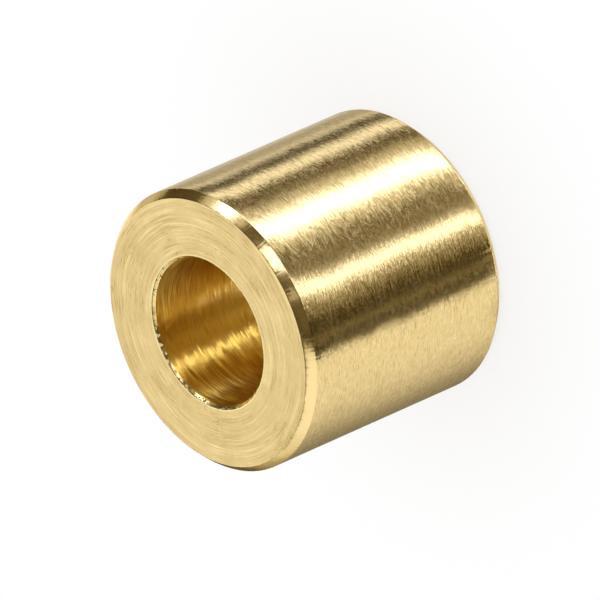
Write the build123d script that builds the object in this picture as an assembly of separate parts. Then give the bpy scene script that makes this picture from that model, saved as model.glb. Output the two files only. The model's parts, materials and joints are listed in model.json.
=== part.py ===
from build123d import *

import os

# Plain bushing: a short sleeve turned in one piece from round brass bar.
# Millimetres. It stands on one end: the origin is the centre of that end,
# and +Z runs up the axis.

# Body
outside_diameter = 20.0
length = 18.0

# Bore: straight through, the close clearance size for a 10 mm bolt or pin
bore_diameter = 10.5

# Outer chamfer, the same at both ends: a little longer along the axis than
# across the end face, so it is slightly steeper than 45 degrees
chamfer_along_axis = 0.6
chamfer_across_face = 0.5

# 45 degree edge break at both mouths of the bore
bore_edge_break = 0.2


def wall_section():
    """Section of the sleeve wall on the +X side of the axis, in the XZ plane."""
    outer_radius = outside_diameter / 2
    bore_radius = bore_diameter / 2
    lower_end = [
        (bore_radius, bore_edge_break),
        (bore_radius + bore_edge_break, 0),
        (outer_radius - chamfer_across_face, 0),
        (outer_radius, chamfer_along_axis),
    ]
    upper_end = [(radius, length - height) for radius, height in reversed(lower_end)]
    with BuildSketch(Plane.XZ) as section:
        with BuildLine():
            Polyline(*lower_end, *upper_end, close=True)
        make_face()
    return section.sketch


def turned_sleeve():
    """The whole bushing: the wall section turned once round the axis."""
    return revolve(wall_section(), axis=Axis.Z)


os.makedirs("parts", exist_ok=True)
bushing = turned_sleeve()
bushing.label = "bushing"
export_step(bushing, "parts/bushing.step")
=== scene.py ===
import json
import math

import bmesh
import bpy
from mathutils import Matrix, Vector, noise


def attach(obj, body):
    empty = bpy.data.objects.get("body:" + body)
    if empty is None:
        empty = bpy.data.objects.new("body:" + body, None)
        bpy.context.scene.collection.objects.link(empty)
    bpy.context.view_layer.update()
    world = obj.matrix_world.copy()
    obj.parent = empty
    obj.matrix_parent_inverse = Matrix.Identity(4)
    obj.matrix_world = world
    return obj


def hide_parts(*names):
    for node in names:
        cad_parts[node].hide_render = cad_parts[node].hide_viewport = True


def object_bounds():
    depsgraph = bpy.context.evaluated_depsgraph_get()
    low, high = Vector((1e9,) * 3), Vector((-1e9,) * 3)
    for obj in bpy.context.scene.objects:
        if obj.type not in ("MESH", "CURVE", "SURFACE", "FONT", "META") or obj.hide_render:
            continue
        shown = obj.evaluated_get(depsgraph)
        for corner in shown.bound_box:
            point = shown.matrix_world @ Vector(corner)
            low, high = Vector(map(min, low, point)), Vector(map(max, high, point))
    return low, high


# The looks of a plain brass bushing standing on its end, in metres, +Z up its axis.
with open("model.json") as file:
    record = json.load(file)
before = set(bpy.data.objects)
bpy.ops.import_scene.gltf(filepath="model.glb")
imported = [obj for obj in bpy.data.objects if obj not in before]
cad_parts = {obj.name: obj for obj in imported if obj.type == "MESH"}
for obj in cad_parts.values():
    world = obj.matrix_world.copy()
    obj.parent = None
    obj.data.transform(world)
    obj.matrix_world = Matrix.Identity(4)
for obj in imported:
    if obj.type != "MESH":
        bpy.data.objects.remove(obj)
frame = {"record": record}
cad_low, cad_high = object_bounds()

MM = 0.001
TURN = 2 * math.pi
UP = (0, 0, 1)
WHITE = (1, 1, 1, 1)

# ---- Sizes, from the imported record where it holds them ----
mounts = {mount["name"]: mount for mount in frame["record"]["mounts"]}
outer_radius = mounts["outside"]["dims"]["r_mm"] * MM
bore_radius = mounts["bore"]["dims"]["r_mm"] * MM
length = cad_high.z - cad_low.z
chamfer_along_axis = (length - mounts["outside"]["dims"]["length_mm"] * MM) / 2
chamfer_across_face = 0.5 * MM
bore_edge_break = (length - mounts["bore"]["dims"]["length_mm"] * MM) / 2

# ---- Fine form that the turning leaves ----
edge_radius = 0.035 * MM
edge_steps = 3
support_gap = 0.08 * MM
round_steps = 960
wall_steps = 12
face_steps = 5
chamfer_waver = 0.018 * MM
nick_depth = 0.035 * MM
bore_edge_share = 0.2
outer_edge_share = 0.7
# Noise round an edge: how fine it is, then how its seed goes up with the corner, and from where.
slow_waver = (3.1, 7.3, 0)
quick_waver = (46.0, 3.7, 0)
nick_bites = (78.0, 11.9, 2.2)
nick_places = (5.0, 5.1, 4.4)
quick_share = 0.55
nick_threshold = 0.30
nick_place_share = 0.25
nick_gain = 1.6

# ---- Materials, in the order of the mesh's slots ----
ZONES = ("bore_wall", "bore_edge", "end_face", "chamfer", "outer_wall")
brass_colour = (0.84, 0.635, 0.285)
# The bore's brass is a deeper, more saturated gold than outside. This is painted warmth for the light that
# bounces inside the bore.
bore_colour_with_painted_bounce = (0.86, 0.565, 0.095)
shade_weights = (0.9, 1.05, 1.4)
grain_rotation = 0.25
noise_middle = 0.5
noise_gain = 4.0

# ---- Patterns: repeats in a millimetre along each part of the vector, detail, roughness ----
# A range turns a pattern into a smooth step from 0 to 1, or between the last two numbers.
# A lean tips the surface, and a shade lightens the colour, by each pattern's weight.
# A rim is a painted highlight line and a line is a painted shade line; each has its start and end in
# millimetres from an edge, then the shade at each.
wall_patterns = {
    "sweep": ((0.22, 0.22, 0.30), 1.0, 0.6),
    "marks": ((1.5, 1.5, 11.0), 4.0, 0.7),
    "grit": ((6.5, 6.5, 12.0), 2.0, 0.7),
    "fine": ((2.2, 2.2, 18.0), 3.0, 0.6),
    "pits": ((4.2, 4.2, 4.2), 1.0, 0.6),
    "mottle": ((2.2, 2.2, 3.0), 3.0, 0.6),
    "strokes": ((1.1, 1.1, 14.0), 2.0, 0.6),
}
wall_ranges = {"pits": (1.05, 1.35), "strokes": (0.3, 0.7)}
wall_lean_round = {"marks": 0.042, "grit": 0.036, "sweep": 0.012}
wall_lean_up = {"fine": 0.06}
wall_dullness = {"marks": 0.06, "grit": 0.08}
wall_roughness = 0.18
wall_roughness_least = 0.08
wall_roughness_most = 0.24
wall_anisotropy = 0.7
wall_shade = {
    "marks": 0.17, "fine": 0.10, "mottle": 0.06, "grit": 0.06, "strokes": -0.28, "pits": -0.35,
}

face_ring_patterns = {
    "marks": ((1.6, 1.6, 5.0), 3.0, 0.65),
    "fine": ((2.4, 2.4, 11.0), 1.0, 0.6),
    "broad": ((0.9, 0.9, 2.6), 2.0, 0.6),
    "ridges": ((2.4, 2.4, 6.0), 2.0, 0.6),
    "streaks": ((1.3, 1.3, 7.0), 1.0, 0.6),
}
face_patch_patterns = {
    "cloud": ((0.5, 0.5, 0.5), 4.0, 0.6),
    "scratched": ((0.35, 0.35, 0.35), 1.0, 0.6),
    "worn": ((0.4, 0.4, 0.4), 2.0, 0.6),
}
face_ranges = {
    "scratched": (-0.2, 0.6), "streaks": (0.35, 0.9), "worn": (-0.35, 0.35, 0.35, 1.5),
}
face_lean_outward = {"marks": 0.06, "fine": 0.08}
face_lean_round = {"cloud": 0.03}
face_dullness = {"marks": 0.04}
face_roughness = 0.27
face_anisotropy = 0.65
face_cut = {"broad": 0.14, "marks": 0.10, "fine": 0.10}
face_shade = {"cloud": 0.10}
face_line_shade = {"scratches": -0.35, "streaks": 0.16}
scratch_ridge = (0.13, 0.0)
# Painted highlights: a light line along the outer and the inner rim of the face.
outer_rim_painted_highlight = (0.03, 0.08, 0.2, 0.0)
inner_rim_painted_highlight = (0.05, 0.13, 0.4, 0.0)

chamfer_patterns = {
    "marks": ((1.5, 1.5, 14.0), 3.0, 0.6),
    "patchy": ((0.9, 0.9, 0.9), 3.0, 0.6),
}
chamfer_ranges = {"patchy": (-0.15, 0.25)}
chamfer_lean_round = {"marks": 0.02}
# Painted shade: a thin dark line on the chamfer along its edge at the face.
chamfer_painted_shade_line = (0.03, 0.09, -0.35, 0.0)
chamfer_tint = (0.95, 0.86, 0.66, 1)
chamfer_roughness = 0.15
chamfer_anisotropy = 0.4

bore_patterns = {
    "marks": ((0.5, 0.5, 3.5), 3.0, 0.6),
    "fine": ((0.6, 0.6, 10.0), 4.0, 0.6),
}
bore_lean_round = {"marks": 0.08, "fine": 0.04}
bore_lean_up = {"fine": 0.42}
bore_dullness = {"marks": 0.05}
bore_roughness = 0.35
bore_roughness_least = 0.2
bore_anisotropy = 1.0
bore_shade = {"marks": 0.25, "fine": 0.34}

edge_patterns = {
    "flecks": ((2.2, 2.2, 4.0), 2.0, 0.6),
    "glints": ((3.6, 3.6, 5.5), 1.0, 0.6),
    "painted_burr_spots": ((1.9, 1.9, 1.9), 2.0, 0.6),
}
edge_ranges = {"glints": (0.27, 0.42), "painted_burr_spots": (0.1, 0.3)}
edge_lean_round = {"flecks": 0.06}
edge_rounding = 0.05
edge_tint = (1, 0.95, 0.85, 1)
edge_roughness = 0.16
edge_anisotropy = 0.2
# Painted shade on the bore edge: a dark line round its middle that is darker in burr spots. Neither of them
# is shaped.
groove_width = 0.03  # millimetres
painted_groove_darkness = -0.1
painted_burr_darkness = -0.3


# ---------------------------------------------------------------- node helpers
def add_node(tree, kind, **values):
    """A node with its named properties set."""
    node = tree.nodes.new(kind)
    for name, value in values.items():
        setattr(node, name, value)
    return node


def feed(tree, socket, source):
    """Sets a socket to a number or a vector, or links an output to it."""
    if isinstance(source, bpy.types.NodeSocket):
        tree.links.new(source, socket)
    else:
        socket.default_value = source


def maths(tree, operation, *inputs):
    """The output of one Math node."""
    node = add_node(tree, "ShaderNodeMath", operation=operation)
    for socket, source in zip(node.inputs, inputs):
        feed(tree, socket, source)
    return node.outputs[0]


def vector_maths(tree, operation, *inputs):
    """The output of one Vector Math node, its number where the operation gives one."""
    node = add_node(tree, "ShaderNodeVectorMath", operation=operation)
    for socket, source in zip(node.inputs, inputs):
        feed(tree, socket, source)
    return node.outputs[1 if operation in ("LENGTH", "DOT_PRODUCT") else 0]


def scaled(tree, vector, factor):
    """A vector times a number, either of them fixed or linked."""
    node = add_node(tree, "ShaderNodeVectorMath", operation="SCALE")
    feed(tree, node.inputs[0], vector)
    feed(tree, node.inputs["Scale"], factor)
    return node.outputs[0]


def ramp_between(tree, value, start, end, low=0.0, high=1.0):
    """Goes smoothly from low to high as value goes from start to end."""
    node = add_node(tree, "ShaderNodeMapRange", interpolation_type="SMOOTHSTEP")
    for socket, source in zip(node.inputs, (value, start, end, low, high)):
        feed(tree, socket, source)
    return node.outputs[0]


def mixed(tree, factor, first, second):
    """Goes from the first colour to the second as factor goes from 0 to 1."""
    node = add_node(tree, "ShaderNodeMix", data_type="RGBA")
    feed(tree, node.inputs[0], factor)
    feed(tree, node.inputs[6], first)
    feed(tree, node.inputs[7], second)
    return node.outputs[2]


# ---------------------------------------------------------------- the bushing
def rounded_corner(before, corner, after):
    """Points that round a corner of the section, with a support point on each side."""
    into = (corner - before).normalized()
    out = (after - corner).normalized()
    turn = into.angle(out)
    cut_back = edge_radius * math.tan(turn / 2)
    start = corner - into * cut_back
    inward = Vector((-into.y, into.x)) * (1 if into.cross(out) > 0 else -1)
    centre = start + inward * edge_radius
    points = [start - into * support_gap]
    for step in range(edge_steps + 1):
        share = turn * step / edge_steps
        across = inward * edge_radius * math.cos(share)
        along = into * edge_radius * math.sin(share)
        points.append(centre - across + along)
    points.append(corner + out * (cut_back + support_gap))
    return points


def section_runs():
    """The section's straight runs in order, each with its corner, zone and steps."""
    inner, outer = bore_radius, outer_radius
    low_end = [
        (Vector((inner, bore_edge_break)), "bore_edge", 1),
        (Vector((inner + bore_edge_break, 0)), "end_face", face_steps),
        (Vector((outer - chamfer_across_face, 0)), "chamfer", 1),
        (Vector((outer, chamfer_along_axis)), "outer_wall", wall_steps),
    ]
    high_end = [
        (Vector((outer, length - chamfer_along_axis)), "chamfer", 1),
        (Vector((outer - chamfer_across_face, length)), "end_face", face_steps),
        (Vector((inner + bore_edge_break, length)), "bore_edge", 1),
        (Vector((inner, length - bore_edge_break)), "bore_wall", wall_steps),
    ]
    return low_end + high_end


def section_points():
    """The closed section as (point, corner number or None, zone of the strip after it)."""
    runs = section_runs()
    count = len(runs)
    points = []
    for index, (corner, zone, steps) in enumerate(runs):
        before, after = runs[index - 1][0], runs[(index + 1) % count][0]
        zone_before = runs[index - 1][1]
        ring = rounded_corner(before, corner, after)
        for place, point in enumerate(ring):
            strip = zone_before if place < 1 + edge_steps // 2 else zone
            on_edge = 0 < place < len(ring) - 1
            points.append((point, index if on_edge else None, strip))
        next_ring = rounded_corner(corner, after, runs[(index + 2) % count][0])
        for step in range(1, steps):
            points.append((ring[-1].lerp(next_ring[0], step / steps), None, zone))
    return points


def edge_noise(angle, corner, fineness, seed_step, seed_start):
    """Noise from about -1 to 1 round one edge."""
    place = Vector((math.cos(angle), math.sin(angle), 0))
    return noise.noise(place * fineness + Vector((0, 0, seed_step * corner + seed_start)))


def waver(angle, corner):
    """Slow unevenness of one edge round the bushing, from about -1 to 1."""
    return edge_noise(angle, corner, *slow_waver) + quick_share * edge_noise(angle, corner, *quick_waver)


def nick(angle, corner):
    """Small scattered nicks in one edge, 0 where there is none."""
    bite = edge_noise(angle, corner, *nick_bites)
    where = edge_noise(angle, corner, *nick_places)
    return max(0.0, bite - nick_threshold + nick_place_share * where) * nick_gain


def edge_shift(corner, angle):
    """How far one rounded corner moves inwards, as (radius, height)."""
    point, _zone, _steps = section_runs()[corner]
    inward = Vector(((outer_radius + bore_radius) / 2, length / 2)) - point
    share = outer_edge_share if inward.x < 0 else bore_edge_share
    inward = Vector((math.copysign(1, inward.x), math.copysign(1, inward.y)))
    depth = chamfer_waver * (0.5 + 0.5 * waver(angle, corner)) + nick_depth * nick(angle, corner)
    return inward * depth * share


def turned_mesh():
    """The whole bushing as one closed mesh, turned from its section."""
    points = section_points()
    rings = len(points)
    shape = bmesh.new()
    for step in range(round_steps):
        angle = TURN * step / round_steps
        shifts = [edge_shift(corner, angle) for corner in range(len(section_runs()))]
        for point, corner, _zone in points:
            place = point if corner is None else point + shifts[corner]
            across, along = place.x * math.cos(angle), place.x * math.sin(angle)
            shape.verts.new((across, along, place.y + cad_low.z))
    shape.verts.ensure_lookup_table()
    for step in range(round_steps):
        here, there = step * rings, (step + 1) % round_steps * rings
        for ring in range(rings):
            following = (ring + 1) % rings
            corners = (here + ring, there + ring, there + following, here + following)
            face = shape.faces.new([shape.verts[i] for i in corners])
            face.smooth = True
            face.material_index = ZONES.index(points[ring][2])
    bmesh.ops.recalc_face_normals(shape, faces=shape.faces)
    mesh = bpy.data.meshes.new("turned_bushing")
    shape.to_mesh(mesh)
    shape.free()
    return mesh


# ---------------------------------------------------------------- brass
class Brass:
    """A brass material with the directions that turning marks follow."""

    def __init__(self, name, colour=brass_colour):
        self.colour = colour
        self.material = bpy.data.materials.new(name)
        self.material.use_nodes = True
        self.tree = self.material.node_tree
        self.shader = self.tree.nodes["Principled BSDF"]
        self.shader.inputs["Metallic"].default_value = 1.0
        self.shader.inputs["Base Color"].default_value = (*colour, 1)
        place = add_node(self.tree, "ShaderNodeTexCoord").outputs["Object"]
        self.place_mm = scaled(self.tree, place, 1 / MM)
        self.normal = add_node(self.tree, "ShaderNodeNewGeometry").outputs["Normal"]
        flat = vector_maths(self.tree, "MULTIPLY", self.place_mm, (1, 1, 0))
        self.radius = vector_maths(self.tree, "LENGTH", flat)
        self.outward = vector_maths(self.tree, "NORMALIZE", flat)
        self.round = vector_maths(self.tree, "CROSS_PRODUCT", UP, self.outward)

    def pattern(self, vector, scale, detail, roughness):
        """Noise from about -1 to 1 over a vector in millimetres."""
        node = add_node(self.tree, "ShaderNodeTexNoise")
        feed(self.tree, node.inputs["Vector"], vector_maths(self.tree, "MULTIPLY", vector, scale))
        node.inputs["Scale"].default_value = 1.0
        node.inputs["Detail"].default_value = detail
        node.inputs["Roughness"].default_value = roughness
        centred = maths(self.tree, "SUBTRACT", node.outputs["Fac"], noise_middle)
        return maths(self.tree, "MULTIPLY", centred, noise_gain)

    def patterns(self, vector, table, ranges):
        """The table's patterns by name, each taken through its range if it has one."""
        made = {name: self.pattern(vector, *values) for name, values in table.items()}
        for name in made:
            if name in ranges:
                made[name] = ramp_between(self.tree, made[name], *ranges[name])
        return made

    def weighted(self, made, weights, total=None):
        """The total and the sum of the named patterns, each times its weight."""
        for name, weight in weights.items():
            if total is None:
                total = maths(self.tree, "MULTIPLY", made[name], weight)
            else:
                total = maths(self.tree, "MULTIPLY_ADD", made[name], weight, total)
        return total

    def rings(self):
        """Place on an end face as (direction, direction, radius): marks run round it."""
        node = add_node(self.tree, "ShaderNodeCombineXYZ")
        feed(self.tree, node.inputs["Z"], self.radius)
        return vector_maths(self.tree, "ADD", self.outward, node.outputs[0])

    def tilt(self, *leans):
        """The surface normal, leant by each (direction, amount)."""
        normal = self.normal
        for direction, amount in leans:
            normal = vector_maths(self.tree, "ADD", normal, scaled(self.tree, direction, amount))
        feed(self.tree, self.shader.inputs["Normal"], vector_maths(self.tree, "NORMALIZE", normal))

    def grain(self, roughness, anisotropy):
        """Roughness that is greater across the turning marks than along them."""
        feed(self.tree, self.shader.inputs["Roughness"], roughness)
        self.shader.inputs["Anisotropic"].default_value = anisotropy
        self.shader.inputs["Anisotropic Rotation"].default_value = grain_rotation
        tangent = add_node(self.tree, "ShaderNodeTangent", direction_type="RADIAL", axis="Z")
        feed(self.tree, self.shader.inputs["Tangent"], tangent.outputs[0])

    def depth(self):
        """How far below the nearer end face, in millimetres."""
        height = add_node(self.tree, "ShaderNodeSeparateXYZ")
        feed(self.tree, height.inputs[0], self.place_mm)
        from_middle = maths(self.tree, "SUBTRACT", height.outputs["Z"], length / MM / 2)
        return maths(self.tree, "SUBTRACT", length / MM / 2, maths(self.tree, "ABSOLUTE", from_middle))

    def shade(self, amount):
        """Lightens the base colour by a share of itself, or darkens it, which makes it browner."""
        weights = [part * weight for part, weight in zip(self.colour, shade_weights)]
        change = scaled(self.tree, weights, amount)
        colour = vector_maths(self.tree, "ADD", change, self.colour)
        feed(self.tree, self.shader.inputs["Base Color"], colour)


def outer_wall_brass():
    """Fine brushed marks round the wall, with short scratches and small pits."""
    brass = Brass("outer_wall")
    tree = brass.tree
    made = brass.patterns(brass.place_mm, wall_patterns, wall_ranges)
    lean_round = brass.weighted(made, wall_lean_round)
    brass.tilt((brass.round, lean_round), (UP, brass.weighted(made, wall_lean_up)))
    dullness = maths(tree, "ADD", brass.weighted(made, wall_dullness), wall_roughness)
    dullness = maths(tree, "MAXIMUM", dullness, wall_roughness_least)
    brass.grain(maths(tree, "MINIMUM", dullness, wall_roughness_most), wall_anisotropy)
    brass.shade(brass.weighted(made, wall_shade))
    return brass.material


def end_face_brass():
    """Concentric turning marks on the flat ring, worn in patches, with a painted highlight line at each rim.
    """
    brass = Brass("end_face")
    tree = brass.tree
    made = brass.patterns(brass.rings(), face_ring_patterns, face_ranges)
    made.update(brass.patterns(brass.place_mm, face_patch_patterns, face_ranges))
    lean_outward = brass.weighted(made, face_lean_outward)
    brass.tilt((brass.outward, lean_outward), (brass.round, brass.weighted(made, face_lean_round)))
    brass.grain(brass.weighted(made, face_dullness, face_roughness), face_anisotropy)
    ridge = ramp_between(tree, maths(tree, "ABSOLUTE", made["ridges"]), *scratch_ridge)
    made["scratches"] = maths(tree, "MULTIPLY", ridge, made["scratched"])
    cut = brass.weighted(made, face_cut)
    shade = maths(tree, "MULTIPLY_ADD", cut, made["worn"], brass.weighted(made, face_shade))
    shade = brass.weighted(made, face_line_shade, shade)
    # Painted highlight: the colour is made lighter in a thin line along each rim of the face.
    ring_inside = maths(tree, "SUBTRACT", brass.radius, (bore_radius + bore_edge_break) / MM)
    ring_outside = maths(tree, "SUBTRACT", (outer_radius - chamfer_across_face) / MM, brass.radius)
    shade = maths(tree, "ADD", shade, ramp_between(tree, ring_outside, *outer_rim_painted_highlight))
    brass.shade(maths(tree, "ADD", shade, ramp_between(tree, ring_inside, *inner_rim_painted_highlight)))
    return brass.material


def chamfer_brass():
    """The chamfer tool leaves a smoother, shinier band, with a patchy line of painted shade along its edge
    at the face.
    """
    brass = Brass("chamfer")
    made = brass.patterns(brass.place_mm, chamfer_patterns, chamfer_ranges)
    brass.tilt((brass.round, brass.weighted(made, chamfer_lean_round)))
    brass.shader.inputs["Specular Tint"].default_value = chamfer_tint
    brass.grain(chamfer_roughness, chamfer_anisotropy)
    # Painted shade: darker in a thin, patchy line along the chamfer's edge at the face.
    line = ramp_between(brass.tree, brass.depth(), *chamfer_painted_shade_line)
    brass.shade(maths(brass.tree, "MULTIPLY", line, made["patchy"]))
    return brass.material


def bore_wall_brass():
    """Boring marks round the bore, a little coarser than outside, in a deeper gold that paints in the warm
    light bouncing inside the bore.
    """
    brass = Brass("bore_wall", colour=bore_colour_with_painted_bounce)
    tree = brass.tree
    made = brass.patterns(brass.place_mm, bore_patterns, {})
    lean_round = brass.weighted(made, bore_lean_round)
    brass.tilt((brass.round, lean_round), (UP, brass.weighted(made, bore_lean_up)))
    dullness = brass.weighted(made, bore_dullness, bore_roughness)
    brass.grain(maths(tree, "MAXIMUM", dullness, bore_roughness_least), bore_anisotropy)
    brass.shade(brass.weighted(made, bore_shade))
    return brass.material


def bore_edge_brass():
    """The broken edge of the bore, with a thin dark line of painted shade round it that is darker in small
    painted burr spots.
    """
    brass = Brass("bore_edge")
    tree = brass.tree
    made = brass.patterns(brass.place_mm, edge_patterns, edge_ranges)
    half_break = bore_edge_break / MM / 2
    from_ridge = maths(tree, "ABSOLUTE", maths(tree, "SUBTRACT", brass.depth(), half_break))
    rounding = ramp_between(tree, from_ridge, 0.0, half_break, -edge_rounding, edge_rounding)
    lean_round = brass.weighted(made, edge_lean_round)
    brass.tilt((brass.outward, rounding), (brass.round, lean_round), (UP, made["glints"]))
    brass.shader.inputs["Specular Tint"].default_value = edge_tint
    brass.grain(edge_roughness, edge_anisotropy)
    # Painted shade: a thin dark line round the middle of the edge, wider and darker at the burr spots.
    reach = maths(tree, "MULTIPLY_ADD", made["painted_burr_spots"], groove_width, groove_width)
    edge = maths(tree, "SUBTRACT", from_ridge, reach)
    painted_groove = ramp_between(tree, edge, -groove_width / 2, groove_width / 2, 1.0, 0.0)
    painted_edge_darkness = maths(tree, "MULTIPLY_ADD", made["painted_burr_spots"], painted_burr_darkness, painted_groove_darkness)
    brass.shade(maths(tree, "MULTIPLY", painted_groove, painted_edge_darkness))
    return brass.material


def build_bushing():
    """The turned piece with a brass for each zone, in place of the CAD node."""
    bushing = bpy.data.objects.new("turned_bushing", turned_mesh())
    bpy.context.scene.collection.objects.link(bushing)
    makers = {
        "bore_wall": bore_wall_brass,
        "bore_edge": bore_edge_brass,
        "end_face": end_face_brass,
        "chamfer": chamfer_brass,
        "outer_wall": outer_wall_brass,
    }
    for zone in ZONES:
        bushing.data.materials.append(makers[zone]())
    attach(bushing, "root")
    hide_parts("bushing")
    return bushing


# ---------------------------------------------------------------- studio
# What the metal sees round it, in place of the white world and of the floor, which it doesn't see.
# A card is an upright strip of light or shade, by its compass angle from the front in degrees.
# Light is a share of white, top and bottom are elevations, and a lean moves the card's middle as
# elevation goes up from card_level, which the wall mirrors in the main view. Each card covers the
# ones before it. The bore window and the bore lamp light the bore from below, which a real floor
# would stop.
surround_light = 0.93
card_level = -37.8
cards = {
    "back wall": dict(middle=180, half_width=50, soft=20, light=0.98, bottom=12),
    "table": dict(middle=-85, half_width=45, soft=30, light=1.03, top=5),
    "table glow": dict(middle=-80, half_width=34, soft=20, light=1.2, bottom=8),
    "side shade": dict(middle=-128, half_width=34, soft=16, light=0.25, bottom=30),
    "ceiling": dict(middle=-90, half_width=62, soft=20, light=0.10, bottom=44),
    "table shade": dict(middle=-168, half_width=46, soft=84, light=0.26, top=0),
    "table edge": dict(middle=-161, half_width=9, soft=14, light=0.14, bottom=-30, top=-8),
    "edge shade": dict(middle=-172, half_width=9, soft=6, light=0.18, bottom=-38, top=-14),
    "low shade": dict(middle=-163, half_width=15, soft=14, light=0.30, bottom=-6, top=18),
    "low glow": dict(middle=-147, half_width=8, soft=8, light=0.56, bottom=-8, top=4),
    "dark room": dict(middle=37.7, half_width=90.8, soft=3, light=0.05, lean=0.13),
    "side room": dict(middle=101, half_width=48, soft=8, light=0.10, bottom=-2, top=36),
    "front room": dict(middle=22, half_width=54, soft=8, light=0.15, bottom=28, top=50),
    "dim streak": dict(middle=-39.5, half_width=1.5, soft=2.5, light=0.26),
    "grey card": dict(middle=37, half_width=56, soft=10, light=0.18, top=10),
    "dark gap": dict(middle=87, half_width=8, soft=6, light=0.10, top=10),
    "window glow": dict(middle=-14, half_width=8, soft=12, light=0.24, lean=0.47, top=46),
    "window frame": dict(middle=-7, half_width=7, soft=9, light=0.55, lean=0.47, top=46),
    "small window": dict(middle=-0.6, half_width=5.2, soft=8, light=2.3, lean=0.47, top=46),
    "window top": dict(middle=-2, half_width=12, soft=6, light=2.2, lean=0.47, bottom=20, top=48),
    "lintel": dict(middle=0, half_width=3.5, soft=6, light=0.70, bottom=30, top=52),
    "curtain": dict(middle=55.2, half_width=22.2, soft=6, light=0.70, lean=0.48, top=38),
    "main window": dict(middle=54.4, half_width=8.4, soft=12, light=3.4, lean=0.48, top=38),
    "side card": dict(middle=104.8, half_width=7.0, soft=4.5, light=1.3, top=-15),
    "far wall": dict(middle=151, half_width=21, soft=4, light=0.48, lean=0.2, top=12),
    "far wall top": dict(middle=150, half_width=18, soft=8, light=0.72, lean=0.2, bottom=-18, top=8),
    "far wall edge": dict(middle=132, half_width=3.5, soft=4, light=1.0, lean=0.2, top=-20),
    "back window": dict(middle=165.5, half_width=10, soft=7, light=1.15, bottom=-35, top=5),
    "floor at the back": dict(middle=180, half_width=7, soft=12, light=0.93, top=-36),
    "ceiling light": dict(middle=0, half_width=181, soft=1, light=0.9, bottom=63),
    "floor below": dict(middle=0, half_width=181, soft=1, light=0.1, top=-60),
    "floor behind": dict(middle=180, half_width=28, soft=16, light=0.95, top=-52),
    "bore room": dict(middle=0, half_width=181, soft=1, light=0.8, top=-50, bottom=-60),
    "bore shade": dict(middle=-108, half_width=30, soft=12, light=0.05, top=-48),
    "bore window": dict(middle=32, half_width=8, soft=6, light=27.0, lean=-0.45, top=-64, bottom=-76),
    "bore lamp": dict(middle=-57, half_width=6, soft=4, light=28.0, lean=0.85, top=-66, bottom=-77),
    "floor underneath": dict(middle=0, half_width=181, soft=1, light=0.6, top=-80),
}
level_soft = 8
half_turn = 180.0
# Green and blue follow light by these powers, so dark cards are warm and bright ones cold.
green_power = 0.1
blue_power = 0.4
coldest = 2.5


def card_mask(tree, compass, elevation, card):
    """How much of a direction a card covers, from 0 to 1."""
    lean = card.get("lean", 0)
    middle = maths(tree, "MULTIPLY_ADD", elevation, lean, card["middle"] - lean * card_level)
    angle = maths(tree, "WRAP", maths(tree, "SUBTRACT", compass, middle), half_turn, -half_turn)
    outside = card["half_width"] + card["soft"] / 2
    inside = card["half_width"] - card["soft"] / 2
    mask = ramp_between(tree, maths(tree, "ABSOLUTE", angle), outside, inside)
    if "top" in card:
        under_top = ramp_between(tree, elevation, card["top"] + level_soft, card["top"] - level_soft)
        mask = maths(tree, "MULTIPLY", mask, under_top)
    if "bottom" in card:
        over_bottom = ramp_between(tree, elevation, card["bottom"] - level_soft, card["bottom"] + level_soft)
        mask = maths(tree, "MULTIPLY", mask, over_bottom)
    return mask


def studio_light(tree, direction):
    """Colour of the cards in a direction, from the red of their light and its coldness."""
    parts = add_node(tree, "ShaderNodeSeparateXYZ")
    feed(tree, parts.inputs[0], direction)
    east, north, up = parts.outputs
    towards_front = maths(tree, "MULTIPLY", north, -1.0)
    compass = maths(tree, "DEGREES", maths(tree, "ARCTAN2", east, towards_front))
    elevation = maths(tree, "DEGREES", maths(tree, "ARCSINE", up))
    light = surround_light
    for card in cards.values():
        mask = card_mask(tree, compass, elevation, card)
        uncovered = maths(tree, "MULTIPLY", maths(tree, "SUBTRACT", 1.0, mask), light)
        light = maths(tree, "MULTIPLY_ADD", mask, card["light"], uncovered)
    colour = add_node(tree, "ShaderNodeCombineXYZ")
    coldness = maths(tree, "MINIMUM", light, coldest)
    feed(tree, colour.inputs[0], light)
    for socket, power in zip(colour.inputs[1:], (green_power, blue_power)):
        feed(tree, socket, maths(tree, "MULTIPLY", light, maths(tree, "POWER", coldness, power)))
    return colour.outputs[0]


def build_world():
    """White for the camera and the floor, the studio's cards for the metal. There are no lamps."""
    world = bpy.data.worlds.new("studio")
    world.use_nodes = True
    world.cycles.sampling_method = "NONE"
    bpy.context.scene.world = world
    tree = world.node_tree
    direction = add_node(tree, "ShaderNodeTexCoord").outputs["Generated"]
    seen_by_metal = add_node(tree, "ShaderNodeLightPath").outputs["Is Glossy Ray"]
    colour = mixed(tree, seen_by_metal, WHITE, studio_light(tree, direction))
    background = tree.nodes["Background"]
    feed(tree, background.inputs["Color"], colour)
    background.inputs["Strength"].default_value = 1.0


floor_radius = 0.9
floor_sides = 128
floor_white = 0.99
shadow_share = 0.28
shadow_reach = (11 * MM, 28 * MM)


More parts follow.
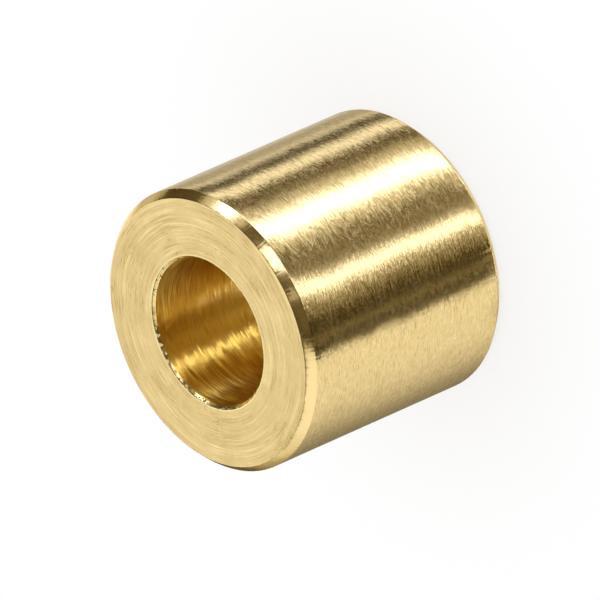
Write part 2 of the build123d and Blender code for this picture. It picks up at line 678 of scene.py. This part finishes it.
def build_floor():
    """A white floor with the bushing's soft shadow and no edge, which the metal doesn't see."""
    shape = bmesh.new()
    bmesh.ops.create_circle(shape, cap_ends=True, segments=floor_sides, radius=floor_radius)
    mesh = bpy.data.meshes.new("floor")
    shape.to_mesh(mesh)
    shape.free()
    floor = bpy.data.objects.new("floor", mesh)
    floor.location.z = cad_low.z
    bpy.context.scene.collection.objects.link(floor)
    material = bpy.data.materials.new("white_floor")
    material.use_nodes = True
    tree = material.node_tree
    tree.nodes.remove(tree.nodes["Principled BSDF"])
    glow = add_node(tree, "ShaderNodeEmission")
    matt = add_node(tree, "ShaderNodeBsdfDiffuse")
    matt.inputs["Color"].default_value = (floor_white, floor_white, floor_white, 1)
    blend = add_node(tree, "ShaderNodeMixShader")
    place = add_node(tree, "ShaderNodeTexCoord").outputs["Object"]
    from_axis = vector_maths(tree, "LENGTH", place)
    feed(tree, blend.inputs[0], ramp_between(tree, from_axis, *shadow_reach, shadow_share, 0.0))
    feed(tree, blend.inputs[1], glow.outputs[0])
    feed(tree, blend.inputs[2], matt.outputs[0])
    feed(tree, tree.nodes["Material Output"].inputs["Surface"], blend.outputs[0])
    mesh.materials.append(material)
    floor.visible_glossy = False
    return floor


# ---------------------------------------------------------------- camera
look_down = math.radians(37.77)
axis_rise = math.radians(23.83)
view_width = 40.28 * MM
long_lens = 1500.0
sensor_width = 36.0
near_divisor = 100
far_factor = 3
middle_right = 0.315 * MM
middle_up = 0.67 * MM


def build_camera():
    """A long lens, rolled so that the upright bushing's axis lies in view as in the photo."""
    data = bpy.data.cameras.new("camera")
    data.sensor_width = sensor_width
    data.lens = long_lens
    camera = bpy.data.objects.new("camera", data)
    bpy.context.scene.collection.objects.link(camera)
    back = Vector((0, -math.cos(look_down), math.sin(look_down)))
    axis_in_view = Vector((0, math.sin(look_down), math.cos(look_down)))
    side = back.cross(axis_in_view)
    right = side * math.sin(axis_rise) - axis_in_view * math.cos(axis_rise)
    up = back.cross(right)
    distance = view_width / 2 / math.tan(math.atan(data.sensor_width / 2 / data.lens))
    target = Vector((0, 0, length / 2)) - right * middle_right - up * middle_up
    turned = Matrix((right, up, back)).transposed().to_4x4()
    camera.matrix_world = Matrix.Translation(target + back * distance) @ turned
    data.clip_start = distance / near_divisor
    data.clip_end = distance * far_factor
    bpy.context.scene.camera = camera
    return camera


bpy.context.scene.view_settings.view_transform = "Standard"
build_world()
build_floor()
build_bushing()
build_camera()

bpy.context.view_layer.update()
